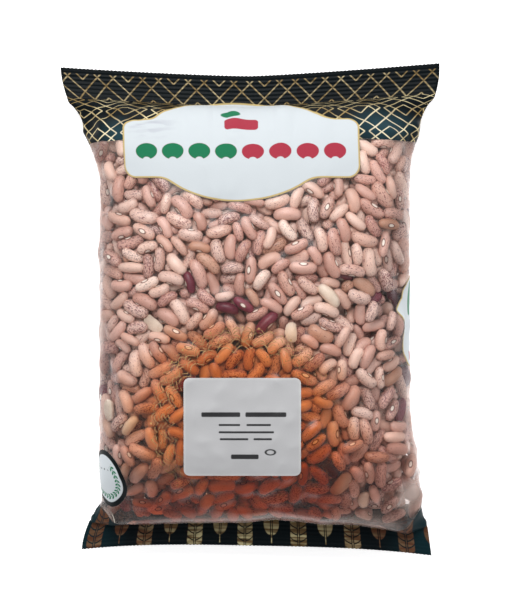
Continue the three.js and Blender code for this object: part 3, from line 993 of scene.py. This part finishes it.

# All inks, each over the last, with painted light among them: sheen on the navy and the gold, glints on the
# ears and shade in the plaque's wrinkles. The gold is a foil-like ink, pale in the middle, coppery at the
# lower corners
NAVY, CORNER_SHEEN_NAVY, SHEEN_NAVY, WHITE, WRINKLE_SHADE_WHITE = "#070e11", "#0c2227", "#24444e", "#bcc2c5", "#8d8c9c"
GREEN, RED, RULED_GREY, DOT_GREY = "#1c6a48", "#983140", "#9aa4a8", "#4a5054"
BRIGHT_GOLD, DIM_GOLD, WELD_GOLD, SHEEN_GOLD = "#d3c59b", "#8b754a", "#55452c", "#ece6cf"
EAR_GLINT_GOLD, BROWN_GOLD, COPPER, LACE_GOLD, RIM_GOLD = "#b5ab82", "#5c4a30", "#573426", "#d0a768", "#b39e6a"
foil = add(tree, "TexNoise", {"Vector": flat_place, "Scale": 0.07, "Detail": 2.0})
foil_level = add(tree, "MapRange", {"Value": foil, "From Min": 0.4, "From Max": 0.62})
foil_tone = printed_over(foil_level, linear(DIM_GOLD), BRIGHT_GOLD)
# The gold is drawn darker across the weld
in_weld = inside(add(tree, "Math", [WELD_LINE, flat_y], operation="SUBTRACT"))
foil_tone = printed_over(both(in_weld, 0.7), foil_tone, WELD_GOLD)
# Painted glints: the brown gold of the ears is lit in streaks along the weld's ribs, more of them towards the
# cut
along_ribs = moved_to(flat_place, (0, 0), (0.05, 0.45))
ribbed = add(tree, "TexNoise", {"Vector": along_ribs, "Scale": 1.0, "Detail": 1.0})
glint = add(tree, "MapRange", {"Value": ribbed.outputs["Fac"], "From Min": 0.42, "From Max": 0.62})
towards_cut = add(tree, "MapRange", {"Value": flat_y, "From Min": -138, "From Max": -150, "To Min": 0.25})
ear_tone = printed_over(both(glint, towards_cut), linear(BROWN_GOLD), EAR_GLINT_GOLD)
corner_share = add(tree, "MapRange", {"Value": side_x, "From Min": 40, "From Max": 80, "To Max": 0.85})
ear_tone = printed_over(corner_share, ear_tone, COPPER)
foil_tone = printed_over(inside(flat_y, 0.0), foil_tone, ear_tone)
gold = either(lattice, bottom_gold)
# Painted sheen: the navy turns teal on the sloping lower corners, for the soft box mirrored there
sheen_low_corners = add(tree, "MapRange", {"Value": side_x, "From Min": 80, "From Max": 105})
background = printed_over(both(sheen_low_corners, inside(flat_y, 0.0)), linear(NAVY), CORNER_SHEEN_NAVY)
# Painted sheen: two soft teal patches on the navy, with paler gold in them, stand for the soft box mirrored
# where the film slopes
left_sheen = inside(disc(moved_to(flat_place, (-82, 106)), 9.0), 0.0, 7.0)
right_sheen = inside(disc(moved_to(flat_place, (80, 112), (0.6, 1)), 10.0), 0.0, 7.0)
sheen = either(left_sheen, right_sheen)
painted_sheen = both(sheen, 0.6)
background = printed_over(painted_sheen, background, SHEEN_NAVY)
foil_tone = printed_over(painted_sheen, foil_tone, SHEEN_GOLD)
colour = printed_over(gold, background, foil_tone)
colour = printed_over(lace, colour, LACE_GOLD)
colour = printed_over(either(plaque, side_panel, back_panel), colour, WHITE)
# Painted shade: grey streaks at the plaque's upper left stand for the shade of soft wrinkles, which the film
# itself doesn't have
along_wrinkles = moved_to(flat_place, (0, 0), (0.07, 0.3))
wrinkle = add(tree, "TexNoise", {"Vector": along_wrinkles, "Scale": 1.0, "Detail": 2.0})
painted_wrinkle_shade = add(tree, "MapRange", {
    "Value": wrinkle.outputs["Fac"], "From Min": 0.45, "From Max": 0.6, "To Max": 0.4,
})
wrinkle_shade_corner = inside(disc(moved_to(flat_place, (-62, 114), (0.8, 1)), 9.0), 0.0, 6.0)
colour = printed_over(both(plaque, painted_wrinkle_shade, wrinkle_shade_corner), colour, WRINKLE_SHADE_WHITE)
colour = printed_over(either(printed_beans, red_bar, side_red), colour, RED)
colour = printed_over(either(green_beans, green_leaf, side_green), colour, GREEN)
rims = either(plaque_rim, side_rim, line(back_edge, RIM_LINE))
colour = printed_over(rims, colour, RIM_GOLD)
colour = printed_over(ruled, colour, RULED_GREY)
colour = printed_over(emblem_ring, colour, NAVY)
colour = printed_over(emblem_disc, colour, WHITE)
colour = printed_over(wreath, colour, GREEN)
colour = printed_over(both(dots, emblem_disc), colour, DOT_GREY)
solid_ink = either(top_band, bottom_band, plaque, side_panel, back_panel, rims, emblem_ring)
ink = either(solid_ink, rosette)
pale_inks = either(plaque, side_panel, back_panel, emblem_ring)
metal = both(gold, add(tree, "Math", [1.0, pale_inks], operation="SUBTRACT", use_clamp=True), 0.3)

# The clear orange wash: strongest round the label, fading upwards, and brown red towards the bottom weld
ORANGE_WASH, RED_WASH = "#f1c79e", "#e6a07e"
WASH = {"middle": (-8, -66), "full": 50, "end": 86, "wander": 26.0}
LOW_WASH = {"slant": -0.22, "start": -76, "full": -106}
wash_point = moved_to(flat_place, WASH["middle"], (0.88, 1))
wash_noise = add(tree, "TexNoise", {"Vector": flat_place, "Scale": 0.06, "Detail": 1.0})
from_label = add(tree, "VectorMath", [wash_point], operation="LENGTH").outputs["Value"]
wash_reach = add(tree, "Math", {0: wash_noise, 1: WASH["wander"], 2: from_label}, operation="MULTIPLY_ADD")
wash = add(tree, "MapRange", {
    "Value": wash_reach, "From Min": WASH["end"], "From Max": WASH["full"],
}, interpolation_type="SMOOTHSTEP")
low_line = add(tree, "Math", {0: flat_x, 1: LOW_WASH["slant"], 2: flat_y}, operation="MULTIPLY_ADD")
low_wash = add(tree, "MapRange", {
    "Value": low_line, "From Min": LOW_WASH["start"], "From Max": LOW_WASH["full"],
}, interpolation_type="SMOOTHSTEP")
off_sides = add(tree, "MapRange", {
    "Value": side_x, "From Min": 112, "From Max": 70,
}, interpolation_type="SMOOTHSTEP")
off_right = add(tree, "MapRange", {
    "Value": flat_x, "From Min": 64, "From Max": 40, "To Min": 0.3,
}, interpolation_type="SMOOTHSTEP")
tint = printed_over(wash, (1, 1, 1, 1), ORANGE_WASH)
tint = printed_over(both(low_wash, off_sides, off_right), tint, RED_WASH)

# Milky haze where the film stands off the beans, on the lip, the folded lower corners and the side creases,
# below the top band, and on the lap at the back
HAZE = {
    "lap": 0.3, "lip": 0.7, "below_top_band": 0.42, "side_crease": 0.38,
    "left_fold": 0.55, "right_fold": 0.68, "left_edge": 0.75,
}
MILK, SHADED_MILK, LIP_MILK, EDGE_MILK_AND_GLINT = "#b5a197", "#897268", "#9c7f72", "#e9e2d2"
gap_here = add(tree, "Attribute", attribute_name="gap")
haze = add(tree, "MapRange", {
    "Value": gap_here.outputs["Fac"], "From Min": 0.3, "From Max": 3.0, "To Min": 0.005, "To Max": 0.04,
})
lap = inside(add(tree, "Math", [FLAT_HALF_GIRTH - 7, side_x], operation="SUBTRACT"))
along_lip = moved_to(flat_place, (0, 0), (0.35, 1))
lip_noise = add(tree, "TexNoise", {"Vector": along_lip, "Scale": 0.22, "Detail": 2.0})
lip_line = add(tree, "Math", {0: lip_noise, 1: 9.0, 2: flat_y}, operation="MULTIPLY_ADD")
lip_haze = inside(add(tree, "Math", [lip_line, -114.5], operation="SUBTRACT"), 0.0, 3.0)
over_sides = inside(add(tree, "Math", [82, side_x], operation="SUBTRACT"), 0.0, 4.0)
below_top_band = both(inside(add(tree, "Math", [94, flat_y], operation="SUBTRACT"), 0.0, 5.0), over_sides)
past_side = inside(add(tree, "Math", [108, side_x], operation="SUBTRACT"), 0.0, 4.0)
side_crease = both(past_side, inside(side_x, 122, 4.0))
left_fold = disc(moved_to(flat_place, (-102, -130), (0.95, 0.8)), 8.0)
right_fold = disc(moved_to(flat_place, (101, -110), (0.7, 1)), 8.0)
inner_side = inside(add(tree, "Math", [-97, flat_x], operation="SUBTRACT"), 0.0, 2.0)
# The whitish line along the folded corner's edge is partly the haze of film seen edge-on and partly a painted
# highlight
left_edge = both(line(left_fold, 0.3, 0.3), inner_side)
right_of_fold = add(tree, "MapRange", {"Value": flat_x, "From Min": -62, "From Max": -40, "To Min": 0.25})
left_of_fold = add(tree, "MapRange", {"Value": flat_x, "From Min": 96, "From Max": 84})
lip_haze = both(lip_haze, right_of_fold, left_of_fold)
haze = either(
    haze,
    both(lap, HAZE["lap"]),
    both(lip_haze, lip_noise, HAZE["lip"]),
    both(below_top_band, HAZE["below_top_band"]),
    both(side_crease, HAZE["side_crease"]),
    both(inside(left_fold, -1.0, 1.5), HAZE["left_fold"]),
    both(inside(right_fold, 0.0, 4.0), HAZE["right_fold"]),
    both(left_edge, HAZE["left_edge"]),
)
cover = either(ink, haze)
# Painted shade: the haze below the top band and in the side creases is a darker brown, for the light falling
# off towards the corners and sides
milk = printed_over(either(below_top_band, side_crease), linear(MILK), SHADED_MILK)
milk = printed_over(lip_haze, milk, LIP_MILK)
milk = printed_over(left_edge, milk, EDGE_MILK_AND_GLINT)
body_colour = printed_over(either(solid_ink, lace), milk, colour)
body = add(tree, "BsdfPrincipled", {
    "Base Color": body_colour, "Metallic": metal, "Roughness": 0.38, "Specular IOR Level": 0.06,
})
clear = add(tree, "BsdfTransparent", {"Color": tint})
sheet = add(tree, "MixShader", [cover, clear, body])
gloss = add(tree, "BsdfGlossy", {"Color": (1, 1, 1, 1), "Roughness": 0.26})
mirror_share = both(add(tree, "Fresnel", {"IOR": 1.32}), add(tree, "Math", [1.0, ink], operation="SUBTRACT"))
glossy = add(tree, "MixShader", [mirror_share, sheet, gloss])
add(tree, "OutputMaterial", [glossy])
film.data.materials.append(film_material)
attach(film, "root")
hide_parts("filled_bag")

# The label
# A white paper sticker with round corners, stuck on the film below the middle of the front, where it bridges
# the beans. Plain bars stand for its printed lines.
LABEL = {"width": 67.7, "height": 56.7, "corner": 3.4, "middle": (-4.5, -67.5), "thickness": 0.2}
LABEL_CELL = 1.25
SETTLING_ROUNDS = 90
SETTLING_DROP = 0.004
label_middle = np.array(LABEL["middle"]) + BAG_SHIFT[:2]
label_cells = (round(LABEL["width"] / LABEL_CELL), round(LABEL["height"] / LABEL_CELL))
film_tree = BVHTree.FromObject(film, bpy.context.evaluated_depsgraph_get())
u, v = np.meshgrid(np.linspace(-0.5, 0.5, label_cells[0] + 1), np.linspace(-0.5, 0.5, label_cells[1] + 1))
flat_label = np.stack([u * LABEL["width"], v * LABEL["height"]], axis=-1)
past = np.maximum(np.abs(flat_label) - np.array([LABEL["width"], LABEL["height"]]) / 2 + LABEL["corner"], 0)
length = np.linalg.norm(past, axis=-1, keepdims=True)
in_corner = np.all(past > 0, axis=-1, keepdims=True)
kept = np.where(in_corner, past.max(axis=-1, keepdims=True) / np.maximum(length, 1e-6), 1)
flat_label = flat_label - np.sign(flat_label) * past * (1 - kept)
label_places = flat_label + label_middle
resting = np.empty(u.shape)
for i, j in np.ndindex(*u.shape):
    x, y = label_places[i, j] * MM
    hit = film_tree.ray_cast(Vector((x, y, 0.2)), Vector((0, 0, -1)))
    resting[i, j] = hit[0].z / MM + LABEL["thickness"]
level = resting.copy()
for _ in range(SETTLING_ROUNDS):
    edged = np.pad(level, 1, mode="reflect", reflect_type="odd")
    mean = (edged[:-2, 1:-1] + edged[2:, 1:-1] + edged[1:-1, :-2] + edged[1:-1, 2:]) / 4
    level = np.maximum(mean - SETTLING_DROP, resting)

bpy.ops.object.select_all(action="DESELECT")
bpy.ops.mesh.primitive_grid_add(x_subdivisions=label_cells[0], y_subdivisions=label_cells[1], size=1)
sticker = bpy.context.object
sticker.name = "sticker"
sticker.data.vertices.foreach_set("co", (np.dstack([label_places, level]) * MM).reshape(-1))
sticker.data.update()
paper = sticker.modifiers.new("paper", "SOLIDIFY")
paper.thickness = LABEL["thickness"] * 0.8 * MM
paper.offset = -1
bpy.ops.object.modifier_apply(modifier=paper.name)
bpy.ops.object.shade_smooth_by_angle(angle=math.radians(40))

# Uncoated paper, a little fibrous and paler grey-white along its edge
FIBRE_TONES, PALE_EDGE, BLACK_INK = ("#aeaeaf", "#a6a6a8"), "#bdbdbb", "#1b1b1d"
label_material, tree = new_material("uncoated white label paper")
on_label = add(tree, "TexCoord").outputs["Object"]
label_point = add(tree, "VectorMath", {0: on_label, 1: (1000, 1000, 0)}, operation="MULTIPLY")
label_point = moved_to(label_point, tuple(label_middle))
BARS = (
    ((-23.6, -1.2), 7.2, 1.35), ((1.8, 25.4), 7.2, 1.35),
    ((-13.6, -1.2), 1.2, 0.6), ((2.4, 16.5), 1.2, 0.6),
    ((-13.6, 18.3), -3.0, 0.6),
    ((-13.0, 3.5), -7.0, 0.6), ((6.5, 17.1), -7.0, 0.6),
    ((-6.5, 9.4), -17.2, 1.35),
)
bars = []
for (left, right), height, half in BARS:
    bar_point = moved_to(label_point, ((left + right) / 2, height))
    bars.append(inside(rounded_box(bar_point, ((right - left) / 2, half), min(half, 0.8) * 0.9), 0.0, 0.15))
ring_mark = line(disc(moved_to(label_point, (16.2, -14.6), (0.55, 1)), 1.5), 0.35)
edge = rounded_box(label_point, (LABEL["width"] / 2, LABEL["height"] / 2), LABEL["corner"])
pale_edge_band = inside(add(tree, "Math", [edge, -1.0], operation="MULTIPLY"), 1.1, 0.5)
fibre = add(tree, "TexNoise", {"Vector": label_point, "Scale": 1.2, "Detail": 4.0})
paper_tone = add(tree, "MapRange", {
    "Value": fibre.outputs["Fac"], "From Min": 0.3, "From Max": 0.7, "To Max": 0.25,
})
paper_colour = printed_over(paper_tone, linear(FIBRE_TONES[0]), FIBRE_TONES[1])
paper_colour = printed_over(both(pale_edge_band, 0.6), paper_colour, PALE_EDGE)
paper_colour = printed_over(either(*bars, ring_mark), paper_colour, BLACK_INK)
bumpy = add(tree, "Bump", {"Height": fibre.outputs["Fac"], "Strength": 0.06, "Distance": 0.0002})
sheet = add(tree, "BsdfPrincipled", {"Base Color": paper_colour, "Roughness": 0.5, "Normal": bumpy})
add(tree, "OutputMaterial", [sheet])
sticker.data.materials.append(label_material)
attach(sticker, "root")
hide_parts("label")
